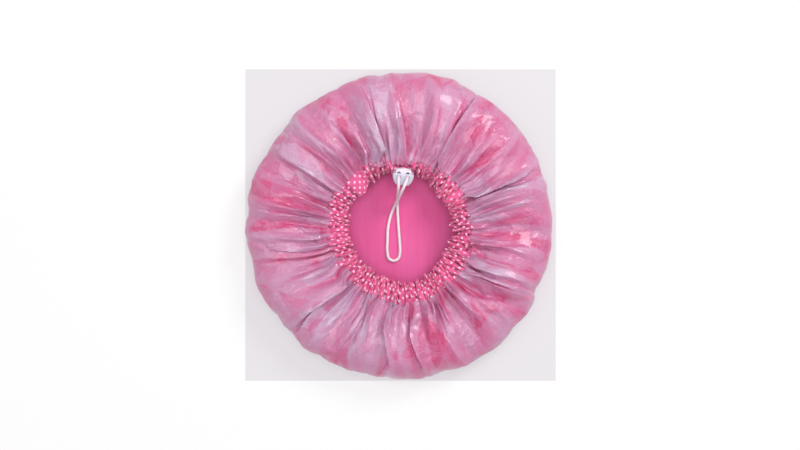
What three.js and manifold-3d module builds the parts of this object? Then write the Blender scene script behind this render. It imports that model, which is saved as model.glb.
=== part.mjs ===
// A gathered shower cap with a drawcord, lying on its crown with the opening up.
// Millimetres. +Z is up, +Y points from the middle of the opening to the cord lock.
// The origin is on the floor under the middle of the cap.

import * as THREE from "three";
import { mergeVertices } from "three/addons/utils/BufferGeometryUtils.js";
import Module from "manifold-3d";

const wasm = await Module();
wasm.setup();

// The cap as it lies: a flat crown, a full rim and a crest, then down to the casing.
const CAP_RADIUS = 150;
const CROWN_FLAT_RADIUS = 92;
const RIM_HEIGHT = 22;
const CREST_RADIUS = 110;
const CREST_HEIGHT = 43;
const CASING_EDGE_HEIGHT = 35;
const FILM_WALL = 0.7;
const LINING_WALL = 0.8;
const LAYER_GAP = 0.4;
const FILM_PARTING = 0.3;

// Pleats of the two skins: narrow ones at the casing run together into broad folds.
const SKIN_COLUMNS = 72;
const LOWER_STATIONS = 2;
const UPPER_STATIONS = 3;
const SLOPE_STATIONS = 2;
const NARROW_PLEAT = 2.1;
const BROAD_FOLD = 2.6;
const PLEAT_UNEVENNESS = 0.25;
const UNEVEN_SIDES = 5;

// The opening, a little off the cap's middle, and the gathered casing around it.
const OPENING = { x: 2, y: -4 };
const CASING_LINE_RADIUS = 62.3;
const CASING_WIDTH = 21;
const CASING_THICKNESS = 7.2;
const CASING_EDGE_THICKNESS = 1.8;
const CASING_PLEATS = 60;
const CASING_PLEAT_DEPTH = 0.8;
const CASING_RUFFLE = 1.5;
const CASING_SEAM_GAP = 0.4;
const CASING_TILT = THREE.MathUtils.degToRad(16);
const CASING_LOCK_TILT = THREE.MathUtils.degToRad(58);
const CASING_WANDER = [
  [17, -2.2], [37, -2.6], [60, -1.2], [75, 0], [103, 0], [119, 2.2], [136, -2], [153, 2],
  [174, -1], [211, -3.6], [252, -3.8], [283, 0.4], [308, -2.8], [347, -2.6],
];
const LOCK_SIDE = THREE.MathUtils.degToRad(89);
const DIP_FULL = THREE.MathUtils.degToRad(20);
const DIP_END = THREE.MathUtils.degToRad(46);

// The cord, its channel and the slit in the casing that it comes out of.
const CORD_DIAMETER = 2.8;
const CORD_SIDES = 8;
const CHANNEL_CLEARANCE = 1;
const CHANNEL_SIDES = 6;
const CHANNEL_STEPS = 40;
const RING_STEPS = 72;
const LOOP_STEPS = 80;
const SLIT_LEFT = -10;
const SLIT_RIGHT = 17.5;
const CORD_JOINT_GAP = 0.4;

// The spring lock: a two-hole body with a plunger that pinches both strands.
const LOCK_SIDEWAYS = 4.2;
const LOCK_REACH = 9.1;
const LOCK_HEIGHT = 37.4;
const LOCK_TILT = THREE.MathUtils.degToRad(22);
const LOCK_TURN = THREE.MathUtils.degToRad(-6);
const HOLE_SPACING = 8.6;
const HOLE_CLEARANCE = 0.5;
const HOLE_LEAD_IN = 0.6;
const BODY_TOP = 2.9;
const BODY_SHOULDER_ROUND = 1.6;
const BODY_TOP_WALL = 1.3;
const BODY_SIDE_WALL = 2.3;
const BODY_FACE_WALL = 1.9;
const BODY_FLOOR_WALL = 1.8;
const BODY_BOTTOM_WIDTH = 11.4;
const BODY_EDGE_ROUND = 1.5;
const PLUNGER_THICKNESS = 5.1;
const PLUNGER_SIDE_WALL = 1.5;
const PLUNGER_HEAD = 2.9;
const PLUNGER_PINCH_BAR = 2.2;
const PLUNGER_TOP_ROUND = 3.2;
const PLUNGER_CROWN = 0.9;
const PLUNGER_EDGE_ROUND = 0.8;
const PLUNGER_FOOT_SLOPE = 2.6;
const PLUNGER_FIT = 0.3;
const PINCH_CLEARANCE = 0.35;
const PRESS_TRAVEL = 2.8;
const FLOOR_CLEARANCE = 0.45;

// The lock's compression spring, in a bore in the plunger.
const SPRING_DIAMETER = 3;
const SPRING_WIRE = 0.4;
const SPRING_TURNS = 6;
const SPRING_TURN_STEPS = 8;
const SPRING_SIDES = 5;
const SPRING_FIT = 0.2;
const SPRING_BORE_TOP = 0.45;

const OVERRUN = 3;
const ROUND_SIDES = 20;
const ROUND_STEPS = 6;
const EDGE_STEPS = 4;
const MERGE_DISTANCE = 1e-5;

// Shares, chosen by hand: how far each skin station follows the opening's offset and the
// dip at the lock, and how deep the two kinds of pleat are there, from the rim inward.
const OPENING_SHARES = [0, 0.05, 0.2, 0.4, 0.75, 1];
const DIP_SHARES = [0, 0, 0, 0.1, 0.5, 1];
const NARROW_SHARES = [0, 0, 0.15, 0.5, 1, 0.9];
const BROAD_SHARES = [0, 0.4, 0.85, 1, 0.6, 0.15];
const CASING_SHOULDER_SHARE = 0.4;
const BODY_BELLY_SHARE = 0.66;
const BODY_BELLY_IN = 0.9;

const cordRadius = CORD_DIAMETER / 2;
const channelRadius = cordRadius + CHANNEL_CLEARANCE;
const holeRadius = cordRadius + HOLE_CLEARANCE;

// Where the free cord runs, with Y from the cord's line in the casing: out of the slit, up
// through the lock's left hole, down to the lining, round the loop's end and back to the
// right hole. Chosen by hand.
const LOOP_ROUTE = [
  [-10.0, -1.2, 26.1], [-7.4, -0.9, 26.2], [-4.8, -1.4, 26.7], [-2.3, -2.9, 27.9],
  [-0.5, -4.9, 30.0], [0.1, -7.0, 33.2], [-0.3, -10.7, 42.4], [-0.3, -13.3, 46.0],
  [-0.3, -16.9, 47.2], [-0.4, -20.6, 45.7], [-0.6, -23.0, 41.6], [-1.0, -27.8, 27.2],
  [-1.3, -32.5, 12.6], [-1.4, -36.7, 6.2], [-1.3, -43.7, 3.6], [-0.6, -56.3, 3.6],
  [0.6, -72.3, 3.6], [1.1, -84.3, 3.6], [-0.6, -90.5, 3.6], [-5.2, -92.7, 3.6],
  [-9.8, -90.5, 3.6], [-11.5, -84.3, 3.6], [-11.4, -72.3, 3.6], [-11.0, -61.3, 3.6],
  [-8.8, -49.9, 3.6], [-6.0, -42.1, 6.4], [-3.6, -37.0, 13.2], [-0.9, -32.4, 24.8],
  [1.0, -28.7, 34.2], [2.8, -24.9, 43.0], [4.3, -21.7, 46.8], [6.0, -17.7, 47.8],
  [7.5, -14.0, 46.2], [8.2, -11.5, 42.4], [8.7, -7.9, 33.2], [9.3, -5.9, 29.7],
  [10.9, -3.9, 27.3], [13.2, -2.4, 26.3], [15.3, -1.8, 26.1], [17.5, -2.0, 26.1],
];

const smooth = (share) => share * share * (3 - 2 * share);

function trimmed(geometry) {
  const bare = geometry.clone();
  bare.deleteAttribute("normal");
  bare.deleteAttribute("uv");
  return mergeVertices(bare, MERGE_DISTANCE);
}

function solid(geometry) {
  const bare = trimmed(geometry);
  return new wasm.Manifold(new wasm.Mesh({
    numProp: 3,
    vertProperties: new Float32Array(bare.attributes.position.array),
    triVerts: new Uint32Array(bare.index.array),
  }));
}

function geometryOf(manifold) {
  const mesh = manifold.getMesh();
  const geometry = new THREE.BufferGeometry();
  geometry.setAttribute("position", new THREE.BufferAttribute(mesh.vertProperties, mesh.numProp));
  geometry.setIndex(new THREE.BufferAttribute(mesh.triVerts, 1));
  return geometry;
}

function geometryFrom(points, triangles) {
  const geometry = new THREE.BufferGeometry();
  geometry.setAttribute("position", new THREE.Float32BufferAttribute(points.flat(), 3));
  geometry.setIndex(triangles);
  return geometry;
}

function node(name, geometry, colour, roughness) {
  const material = new THREE.MeshStandardMaterial({ color: colour, roughness, metalness: 0 });
  geometry.computeVertexNormals();
  const mesh = new THREE.Mesh(geometry, material);
  mesh.name = name;
  return mesh;
}

// Two triangles for the four-sided patch a, b, c, d, seen from outside.
function patch(triangles, a, b, c, d) {
  triangles.push(a, b, c, a, c, d);
}

// How far the casing's line lies in or out of its circle, in millimetres at CASING_WANDER's
// angles in degrees, and smoothly between them.
function casingWander(angle) {
  const turned = THREE.MathUtils.euclideanModulo(THREE.MathUtils.radToDeg(angle), 360);
  const after = CASING_WANDER.findIndex(([stop]) => stop > turned);
  const [end, endShift] = CASING_WANDER[Math.max(after, 0)];
  const [start, startShift] = CASING_WANDER.at(after > 0 ? after - 1 : -1);
  const span = THREE.MathUtils.euclideanModulo(end - start, 360);
  const share = THREE.MathUtils.euclideanModulo(turned - start, 360) / span;
  return startShift + (endShift - startShift) * smooth(share);
}

// The casing's lean toward the opening: gentle, but steep beside the lock.
function casingTilt(angle) {
  const away = Math.abs(Math.atan2(Math.sin(angle - LOCK_SIDE), Math.cos(angle - LOCK_SIDE)));
  const share = THREE.MathUtils.clamp((DIP_END - away) / (DIP_END - DIP_FULL), 0, 1);
  return CASING_TILT + (CASING_LOCK_TILT - CASING_TILT) * smooth(share);
}

// A place on the casing: across its width from the cord's line outward, and out of its face.
function casingPoint(angle, across, out) {
  const tilt = casingTilt(angle);
  const line = CASING_LINE_RADIUS + casingWander(angle);
  const radius = line + across * Math.cos(tilt) - out * Math.sin(tilt);
  const height = CASING_EDGE_HEIGHT - (CASING_WIDTH / 2 - across) * Math.sin(tilt) + out * Math.cos(tilt);
  return [OPENING.x + radius * Math.cos(angle), OPENING.y + radius * Math.sin(angle), height];
}

// How far out the skins end around a casing that leans by this much, clear of its ruffles.
function seamRadius(tilt) {
  const ruffle = CASING_RUFFLE + CASING_EDGE_THICKNESS / 2;
  return CASING_LINE_RADIUS + (CASING_WIDTH / 2) * Math.cos(tilt) + ruffle * Math.sin(tilt) + CASING_SEAM_GAP;
}

// The skins' profile, from the flat crown over the rim and the crest to the casing.
function skinStations() {
  const edgeRadius = seamRadius(CASING_TILT);
  const below = CAP_RADIUS - CROWN_FLAT_RADIUS;
  const above = CAP_RADIUS - CREST_RADIUS;
  const rise = CREST_HEIGHT - RIM_HEIGHT;
  const fall = CREST_HEIGHT - CASING_EDGE_HEIGHT;
  const stations = [];
  for (let step = 0; step <= LOWER_STATIONS; step++) {
    const turn = (step / LOWER_STATIONS) * (Math.PI / 2);
    stations.push({
      radius: CROWN_FLAT_RADIUS + below * Math.sin(turn),
      height: RIM_HEIGHT * (1 - Math.cos(turn)),
      slope: [below * Math.cos(turn), RIM_HEIGHT * Math.sin(turn)],
    });
  }
  for (let step = 1; step <= UPPER_STATIONS; step++) {
    const turn = (step / UPPER_STATIONS) * (Math.PI / 2);
    stations.push({
      radius: CREST_RADIUS + above * Math.cos(turn),
      height: RIM_HEIGHT + rise * Math.sin(turn),
      slope: [-above * Math.sin(turn), rise * Math.cos(turn)],
    });
  }
  for (let step = 1; step <= SLOPE_STATIONS; step++) {
    const share = step / SLOPE_STATIONS;
    stations.push({
      radius: CREST_RADIUS + (edgeRadius - CREST_RADIUS) * share,
      height: CREST_HEIGHT - fall * (1 - Math.cos(Math.PI * share)) / 2,
      slope: [edgeRadius - CREST_RADIUS, -fall * Math.PI * Math.sin(Math.PI * share) / 2],
    });
  }
  return stations;
}

// A point of a skin at one station and column, a given depth under the film's outer face.
function skinPoint(stations, row, column, depth) {
  const { radius, height, slope } = stations[row];
  const above = Math.max(0, row - LOWER_STATIONS);
  const angle = (column / SKIN_COLUMNS) * 2 * Math.PI;
  const length = Math.hypot(...slope);
  const [normalOut, normalUp] = [slope[1] / length, -slope[0] / length];
  const dip = seamRadius(casingTilt(angle)) + casingWander(angle) - seamRadius(CASING_TILT);
  const uneven = 1 + PLEAT_UNEVENNESS * Math.sin(UNEVEN_SIDES * angle);
  const narrow = NARROW_PLEAT * NARROW_SHARES[above] * (column % 2 ? 1 : -1);
  const broad = BROAD_FOLD * BROAD_SHARES[above] * Math.cos(column * (Math.PI / 2));
  const fold = uneven * (narrow + broad);
  const reach = radius + dip * DIP_SHARES[above] + (fold - depth) * normalOut;
  return [
    OPENING.x * OPENING_SHARES[above] + reach * Math.cos(angle),
    OPENING.y * OPENING_SHARES[above] + reach * Math.sin(angle),
    height + (fold - depth) * normalUp,
  ];
}

// A closed skin between two depths: an outer and an inner sheet, joined along the casing.
function skin(from, to) {
  const stations = skinStations();
  const points = [];
  const triangles = [];
  const layer = (depth) => {
    const first = points.length;
    points.push([0, 0, depth]);
    stations.forEach((station, row) => {
      for (let column = 0; column < SKIN_COLUMNS; column++) points.push(skinPoint(stations, row, column, depth));
    });
    return first;
  };
  const at = (first, row, column) => first + 1 + row * SKIN_COLUMNS + (column % SKIN_COLUMNS);
  const outer = layer(from);
  const inner = layer(to);
  const last = stations.length - 1;
  for (let column = 0; column < SKIN_COLUMNS; column++) {
    triangles.push(outer, at(outer, 0, column + 1), at(outer, 0, column));
    triangles.push(inner, at(inner, 0, column), at(inner, 0, column + 1));
    for (let row = 0; row < last; row++) {
      patch(triangles, at(outer, row, column), at(outer, row, column + 1),
        at(outer, row + 1, column + 1), at(outer, row + 1, column));
      patch(triangles, at(inner, row + 1, column + 1), at(inner, row, column + 1),
        at(inner, row, column), at(inner, row + 1, column));
    }
    patch(triangles, at(outer, last, column), at(outer, last, column + 1),
      at(inner, last, column + 1), at(inner, last, column));
  }
  return geometryFrom(points, triangles);
}

// A tube that closes on itself around the casing, from a section at each step.
function ringTube(steps, section, facingOut) {
  const points = [];
  const triangles = [];
  for (let step = 0; step < steps; step++) points.push(...section(step));
  const sides = points.length / steps;
  const at = (step, side) => (step % steps) * sides + (side % sides);
  for (let step = 0; step < steps; step++) {
    for (let side = 0; side < sides; side++) {
      const corners = [at(step, side), at(step, side + 1), at(step + 1, side + 1), at(step + 1, side)];
      patch(triangles, ...(facingOut ? corners.reverse() : corners));
    }
  }
  return geometryFrom(points, triangles);
}

// One section of the gathered casing, with each second step on the back of a pleat.
function casingSection(step) {
  const angle = (step / (CASING_PLEATS * 2)) * 2 * Math.PI;
  const side = step % 2 ? 1 : -1;
  const edge = CASING_WIDTH / 2;
  const shoulder = edge * CASING_SHOULDER_SHARE;
  const [thin, thick] = [CASING_EDGE_THICKNESS / 2, CASING_THICKNESS / 2];
  const outline = [
    [edge, -thin], [edge, thin], [shoulder, thick], [-shoulder, thick],
    [-edge, thin], [-edge, -thin], [-shoulder, -thick], [shoulder, -thick],
  ];
  return outline.map(([across, out]) => {
    const depth = Math.abs(across) === edge ? CASING_RUFFLE : CASING_PLEAT_DEPTH;
    return casingPoint(angle, across, out + side * depth);
  });
}

function channelSection(step) {
  const angle = (step / CHANNEL_STEPS) * 2 * Math.PI;
  return Array.from({ length: CHANNEL_SIDES }, (_, side) => {
    const turn = (side / CHANNEL_SIDES) * 2 * Math.PI;
    return casingPoint(angle, channelRadius * Math.cos(turn), channelRadius * Math.sin(turn));
  });
}

// The slit opens the channel toward the lock and leaves the fabric behind the cord whole.
function slitCutter() {
  const reach = CASING_WIDTH / 2 + OVERRUN;
  const tall = CASING_THICKNESS / 2 + CASING_RUFFLE + OVERRUN;
  const cutter = new THREE.BoxGeometry(SLIT_RIGHT - SLIT_LEFT, reach + channelRadius, tall + channelRadius);
  cutter.translate(0, (channelRadius - reach) / 2, (tall - channelRadius) / 2);
  cutter.rotateX(casingTilt(Math.PI / 2));
  const [, y, z] = casingPoint(Math.PI / 2, 0, 0);
  cutter.translate((SLIT_LEFT + SLIT_RIGHT) / 2, y, z);
  return cutter;
}

function casing() {
  const fabric = solid(joined([
    ringTube(CASING_PLEATS * 2, casingSection, true),
    ringTube(CHANNEL_STEPS, channelSection, false),
  ]));
  return geometryOf(fabric.subtract(solid(slitCutter())));
}

function joined(parts) {
  const points = [];
  const triangles = [];
  for (const part of parts) {
    const first = points.length;
    const place = part.attributes.position;
    for (let i = 0; i < place.count; i++) points.push([place.getX(i), place.getY(i), place.getZ(i)]);
    for (const corner of part.index.array) triangles.push(first + corner);
  }
  return geometryFrom(points, triangles);
}

function tube(path, radius, sides, steps) {
  const section = new THREE.Shape(Array.from({ length: sides }, (_, side) => {
    const turn = ((side + 0.5) / sides) * 2 * Math.PI;
    return new THREE.Vector2(radius * Math.cos(turn), radius * Math.sin(turn));
  }));
  return new THREE.ExtrudeGeometry(section, { steps, extrudePath: path });
}

// The cord inside the casing, all the way round from one end of the slit to the other.
class CasingLine extends THREE.Curve {
  getPoint(share, target = new THREE.Vector3()) {
    const gap = CORD_JOINT_GAP / CASING_LINE_RADIUS;
    const start = Math.acos((SLIT_LEFT - OPENING.x) / CASING_LINE_RADIUS) + gap;
    const end = 2 * Math.PI + Math.acos((SLIT_RIGHT - OPENING.x) / CASING_LINE_RADIUS) - gap;
    return target.set(...casingPoint(start + (end - start) * share, 0, 0));
  }
}

function slab(shape, thickness) {
  const geometry = new THREE.ExtrudeGeometry(shape, {
    depth: thickness, bevelEnabled: false, curveSegments: ROUND_STEPS,
  });
  return solid(geometry.translate(0, 0, -thickness / 2));
}

// A moulding with a bulging outline and rounded edges: the outline drawn in toward both faces.
function moulding(shape, thickness, edge) {
  const outline = new wasm.CrossSection([shape.getPoints(ROUND_STEPS).map(({ x, y }) => [x, y])]);
  const points = [];
  for (let step = 0; step <= EDGE_STEPS; step++) {
    const turn = (step / EDGE_STEPS) * (Math.PI / 2);
    const level = thickness / 2 - edge + edge * Math.sin(turn);
    const drawnIn = outline.offset(-edge * (1 - Math.cos(turn)), "Miter");
    for (const [x, y] of drawnIn.toPolygons().flat()) points.push([x, y, level], [x, y, -level]);
  }
  return wasm.Manifold.hull(points);
}

function bar(radius, length, sides = ROUND_SIDES) {
  return new THREE.CylinderGeometry(radius, radius, length, sides);
}

// Heights in the lock run from the middle of its two holes.
const strand = HOLE_SPACING / 2;
const plungerHalf = strand + holeRadius + PLUNGER_SIDE_WALL;
const slotBottom = -(cordRadius + PINCH_CLEARANCE);
const slotTop = -slotBottom + PRESS_TRAVEL;
const plungerTop = slotTop + PLUNGER_HEAD;
const plungerBottom = slotBottom - PLUNGER_PINCH_BAR;
const footHalf = strand + cordRadius;
const pocketHalf = plungerHalf + PLUNGER_FIT;
const pocketFloor = plungerBottom - PRESS_TRAVEL - FLOOR_CLEARANCE;
const bodyBottom = pocketFloor - BODY_FLOOR_WALL;
const bodyHalf = pocketHalf + BODY_SIDE_WALL;
const bodyThickness = PLUNGER_THICKNESS + 2 * PLUNGER_FIT + 2 * BODY_FACE_WALL;

function bodyOutline() {
  const topHalf = pocketHalf + BODY_TOP_WALL;
  const bottomHalf = BODY_BOTTOM_WIDTH / 2;
  const belly = bodyBottom * BODY_BELLY_SHARE;
  const bellyHalf = bodyHalf - BODY_BELLY_IN;
  const shape = new THREE.Shape();
  shape.moveTo(topHalf, BODY_TOP);
  shape.lineTo(-topHalf, BODY_TOP);
  shape.quadraticCurveTo(-bodyHalf, BODY_SHOULDER_ROUND, -bodyHalf, 0);
  shape.quadraticCurveTo(-bellyHalf, belly, -bottomHalf, bodyBottom);
  shape.lineTo(bottomHalf, bodyBottom);
  shape.quadraticCurveTo(bellyHalf, belly, bodyHalf, 0);
  shape.quadraticCurveTo(bodyHalf, BODY_SHOULDER_ROUND, topHalf, BODY_TOP);
  return shape;
}

// The pocket keeps the plunger's fit on both sides, down to where it is when pressed.
function pocketOutline() {
  const shoulder = plungerBottom + PLUNGER_FOOT_SLOPE - PRESS_TRAVEL - PLUNGER_FIT;
  const shape = new THREE.Shape();
  shape.moveTo(pocketHalf, BODY_TOP + OVERRUN);
  shape.lineTo(-pocketHalf, BODY_TOP + OVERRUN);
  shape.lineTo(-pocketHalf, shoulder);
  shape.lineTo(-footHalf - PLUNGER_FIT, pocketFloor);
  shape.lineTo(footHalf + PLUNGER_FIT, pocketFloor);
  shape.lineTo(pocketHalf, shoulder);
  return shape;
}

function lockBody() {
  let body = moulding(bodyOutline(), bodyThickness, BODY_EDGE_ROUND);
  body = body.subtract(slab(pocketOutline(), PLUNGER_THICKNESS + 2 * PLUNGER_FIT));
  for (const place of [-strand, strand]) {
    const hole = bar(holeRadius, bodyThickness + OVERRUN).rotateX(Math.PI / 2).translate(place, 0, 0);
    body = body.subtract(solid(hole));
    for (const face of [-1, 1]) {
      const leadIn = new THREE.CylinderGeometry(
        holeRadius + HOLE_LEAD_IN, holeRadius - HOLE_LEAD_IN, 2 * HOLE_LEAD_IN, ROUND_SIDES);
      leadIn.rotateX(face * Math.PI / 2).translate(place, 0, face * bodyThickness / 2);
      body = body.subtract(solid(leadIn));
    }
  }
  return geometryOf(body);
}

function plungerOutline() {
  const shape = new THREE.Shape();
  const inner = plungerHalf - PLUNGER_TOP_ROUND;
  const cornerTop = plungerTop - PLUNGER_CROWN;
  shape.moveTo(inner, cornerTop);
  shape.quadraticCurveTo(0, plungerTop + PLUNGER_CROWN, -inner, cornerTop);
  shape.quadraticCurveTo(-plungerHalf, cornerTop, -plungerHalf, plungerTop - PLUNGER_TOP_ROUND);
  shape.lineTo(-plungerHalf, plungerBottom + PLUNGER_FOOT_SLOPE);
  shape.lineTo(-footHalf, plungerBottom);
  shape.lineTo(footHalf, plungerBottom);
  shape.lineTo(plungerHalf, plungerBottom + PLUNGER_FOOT_SLOPE);
  shape.lineTo(plungerHalf, plungerTop - PLUNGER_TOP_ROUND);
  shape.quadraticCurveTo(plungerHalf, cornerTop, inner, cornerTop);
  return shape;
}

// A strand's slot in the plunger: round at both ends and longer than the hole by the travel.
function slotOutline(place) {
  const shape = new THREE.Shape();
  shape.absarc(place, slotTop - holeRadius, holeRadius, 0, Math.PI, false);
  shape.absarc(place, slotBottom + holeRadius, holeRadius, Math.PI, 2 * Math.PI, false);
  return shape;
}

function lockPlunger() {
  let plunger = moulding(plungerOutline(), PLUNGER_THICKNESS, PLUNGER_EDGE_ROUND);
  for (const place of [-strand, strand]) {
    plunger = plunger.subtract(slab(slotOutline(place), PLUNGER_THICKNESS + OVERRUN));
  }
  const depth = SPRING_BORE_TOP - plungerBottom + OVERRUN;
  const bore = bar(SPRING_DIAMETER / 2 + SPRING_FIT, depth).translate(0, SPRING_BORE_TOP - depth / 2, 0);
  return geometryOf(plunger.subtract(solid(bore)));
}

// The spring's wire: a helix whose two ends turn to meet the bore's end and the floor.
class SpringLine extends THREE.Curve {
  constructor() {
    super();
    const radius = (SPRING_DIAMETER - SPRING_WIRE) / 2;
    const low = pocketFloor + SPRING_FIT;
    const high = SPRING_BORE_TOP - SPRING_FIT;
    const lead = 2 * SPRING_WIRE;
    const steps = SPRING_TURNS * SPRING_TURN_STEPS;
    this.points = [new THREE.Vector3(radius, low, 0), new THREE.Vector3(radius, low + SPRING_WIRE, 0)];
    for (let step = 1; step < steps; step++) {
      const turn = (step / SPRING_TURN_STEPS) * 2 * Math.PI;
      const height = low + lead + (high - low - 2 * lead) * (step / steps);
      this.points.push(new THREE.Vector3(radius * Math.cos(turn), height, radius * Math.sin(turn)));
    }
    this.points.push(new THREE.Vector3(radius, high - SPRING_WIRE, 0), new THREE.Vector3(radius, high, 0));
    this.curve = new THREE.CatmullRomCurve3(this.points, false, "centripetal");
  }

  getPoint(share, target) {
    return this.curve.getPoint(share, target);
  }
}

// The least gap between turns, measured between points at least half a turn apart.
function leastGap(points, apart, diameter) {
  let least = Infinity;
  for (let i = 0; i < points.length; i++) {
    for (let j = i + apart; j < points.length; j++) least = Math.min(least, points[i].distanceTo(points[j]));
  }
  return least - diameter;
}

function spring() {
  const line = new SpringLine();
  const gap = leastGap(line.points, SPRING_TURN_STEPS / 2, SPRING_WIRE);
  console.log(`least gap between the spring's turns: ${gap.toFixed(2)} mm`);
  return tube(line, SPRING_WIRE / 2, SPRING_SIDES, SPRING_TURNS * SPRING_TURN_STEPS);
}

const slitLine = OPENING.y + CASING_LINE_RADIUS;
const loopLine = new THREE.CatmullRomCurve3(
  LOOP_ROUTE.map(([x, y, z]) => new THREE.Vector3(x, slitLine + y, z)), false, "centripetal");

// The film is one disc. Its solid is parted at the widest line into a dish and a ring, so
// that its collision can stay open under the crest.
const film = solid(skin(0, FILM_WALL));
const filmDish = film.trimByPlane([0, 0, -1], FILM_PARTING / 2 - RIM_HEIGHT);
const filmRing = film.trimByPlane([0, 0, 1], FILM_PARTING / 2 + RIM_HEIGHT);

const cap = new THREE.Group();
const liningDepth = FILM_WALL + LAYER_GAP;
cap.add(
  node("outer_film", geometryOf(filmDish), "#d592ae", 0.25),
  node("outer_film_crest", geometryOf(filmRing), "#d592ae", 0.25),
  node("crown_lining", skin(liningDepth, liningDepth + LINING_WALL), "#e05a96", 0.7),
  node("casing_band", casing(), "#d8518c", 0.75),
  node("drawcord_ring", tube(new CasingLine(), cordRadius, CORD_SIDES, RING_STEPS), "#f6e3ee", 0.8),
  node("drawcord_loop", tube(loopLine, cordRadius, CORD_SIDES, LOOP_STEPS), "#f6e3ee", 0.8),
);

const lock = new THREE.Group();
lock.position.set(LOCK_SIDEWAYS, slitLine - LOCK_REACH, LOCK_HEIGHT);
lock.rotation.set(LOCK_TILT, 0, LOCK_TURN, "ZXY");
lock.add(
  node("lock_body", lockBody(), "#f1eef4", 0.3),
  node("lock_plunger", lockPlunger(), "#f7f2f8", 0.3),
  node("lock_spring", spring(), "#c9ccd0", 0.35),
);
cap.add(lock);

export default cap;
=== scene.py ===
"""A gathered shower cap with a drawcord and a spring cord lock, lying on its crown.

Lengths are in millimetres and are turned into metres where a mesh is made. +Z is up and
+Y points from the middle of the opening to the cord lock.
"""

import math

import bpy
import numpy as np
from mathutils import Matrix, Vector
from mathutils.bvhtree import BVHTree
from mathutils.geometry import delaunay_2d_cdt


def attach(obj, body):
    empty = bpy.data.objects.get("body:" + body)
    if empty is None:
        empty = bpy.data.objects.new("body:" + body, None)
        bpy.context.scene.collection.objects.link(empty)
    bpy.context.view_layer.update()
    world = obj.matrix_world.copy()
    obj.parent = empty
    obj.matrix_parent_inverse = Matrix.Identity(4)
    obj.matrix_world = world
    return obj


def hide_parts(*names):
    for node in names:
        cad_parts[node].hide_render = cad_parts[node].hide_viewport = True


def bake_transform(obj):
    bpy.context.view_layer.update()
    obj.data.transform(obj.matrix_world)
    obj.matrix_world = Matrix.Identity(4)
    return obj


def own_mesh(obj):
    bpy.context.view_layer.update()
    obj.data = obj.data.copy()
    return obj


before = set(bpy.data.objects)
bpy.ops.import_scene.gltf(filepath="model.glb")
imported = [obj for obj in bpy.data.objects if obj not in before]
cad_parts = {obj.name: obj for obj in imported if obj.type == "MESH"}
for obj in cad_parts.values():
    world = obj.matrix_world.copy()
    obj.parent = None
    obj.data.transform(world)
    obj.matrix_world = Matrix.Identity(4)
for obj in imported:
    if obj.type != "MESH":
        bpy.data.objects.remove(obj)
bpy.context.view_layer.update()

METRE = 0.001

# The cap as it lies, as in the CAD.
CAP_RADIUS = 150
CROWN_FLAT_RADIUS = 92
RIM_HEIGHT = 22
CREST_RADIUS = 110
CREST_HEIGHT = 43
CASING_EDGE_HEIGHT = 35
OPENING = np.array([2.0, -4.0])

# The casing round the opening, as in the CAD.
CASING_LINE_RADIUS = 62.3
CASING_WIDTH = 21
CASING_TILT = math.radians(16)
CASING_LOCK_TILT = math.radians(58)
LOCK_SIDE = math.radians(89)
DIP_FULL = math.radians(20)
DIP_END = math.radians(46)
SEAM_GAP = 0.4
SEAM_RADIUS = CASING_LINE_RADIUS + CASING_WIDTH / 2 * math.cos(CASING_TILT) + SEAM_GAP

# How far the casing's line wanders in and out, in millimetres at angles in degrees.
CASING_WANDER = [
    (17, -2.2), (37, -2.6), (60, -1.2), (75, 0), (103, 0), (119, 2.2), (136, -2), (153, 2),
    (174, -1), (211, -3.6), (252, -3.8), (283, 0.4), (308, -2.8), (347, -2.6),
]

# How far the cloth runs on under the casing, and how much of that it drops.
TUCK = 4
TUCK_DROP = 0.5

# How far the rim's outline lies in or out, in millimetres at angles in degrees.
RIM_WANDER = [
    (0, -1), (12, -3.2), (26, -1.4), (54, -0.6), (78, 0.4), (90, -2), (105, -1.4), (123, -4.6), (132, -2),
    (141, -5), (162, 1.2), (174, -2), (182, -1.8), (192, -3.8), (204, 0.6), (216, -4), (228, -1),
    (240, -1.4), (256, -1.6), (266, -4.4), (281, 0), (288, -2.8), (297, 0.6), (311, 2), (318, -2.4),
    (325, 0.6), (336, -4.2), (344, 0.6), (352, 0),
]
# How far up and down the cloth that reaches.
RIM_SPREAD = 27

# The free cord, as in the CAD, with Y from the cord's line in the casing: out of the slit,
# up through the lock, round the loop and back.
CORD_DIAMETER = 2.8
SLIT_LEFT = -10
SLIT_RIGHT = 17.5
LOOP_ROUTE = [
    (-10.0, -1.2, 26.1), (-7.4, -0.9, 26.2), (-4.8, -1.4, 26.7), (-2.3, -2.9, 27.9),
    (-0.5, -4.9, 30.0), (0.1, -7.0, 33.2), (-0.3, -10.7, 42.4), (-0.3, -13.3, 46.0),
    (-0.3, -16.9, 47.2), (-0.4, -20.6, 45.7), (-0.6, -23.0, 41.6), (-1.0, -27.8, 27.2),
    (-1.3, -32.5, 12.6), (-1.4, -36.7, 6.2), (-1.3, -43.7, 3.6), (-0.6, -56.3, 3.6),
    (0.6, -72.3, 3.6), (1.1, -84.3, 3.6), (-0.6, -90.5, 3.6), (-5.2, -92.7, 3.6),
    (-9.8, -90.5, 3.6), (-11.5, -84.3, 3.6), (-11.4, -72.3, 3.6), (-11.0, -61.3, 3.6),
    (-8.8, -49.9, 3.6), (-6.0, -42.1, 6.4), (-3.6, -37.0, 13.2), (-0.9, -32.4, 24.8),
    (1.0, -28.7, 34.2), (2.8, -24.9, 43.0), (4.3, -21.7, 46.8), (6.0, -17.7, 47.8),
    (7.5, -14.0, 46.2), (8.2, -11.5, 42.4), (8.7, -7.9, 33.2), (9.3, -5.9, 29.7),
    (10.9, -3.9, 27.3), (13.2, -2.4, 26.3), (15.3, -1.8, 26.1), (17.5, -2.0, 26.1),
]
LEFT_HOLE_SPAN = 5
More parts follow.
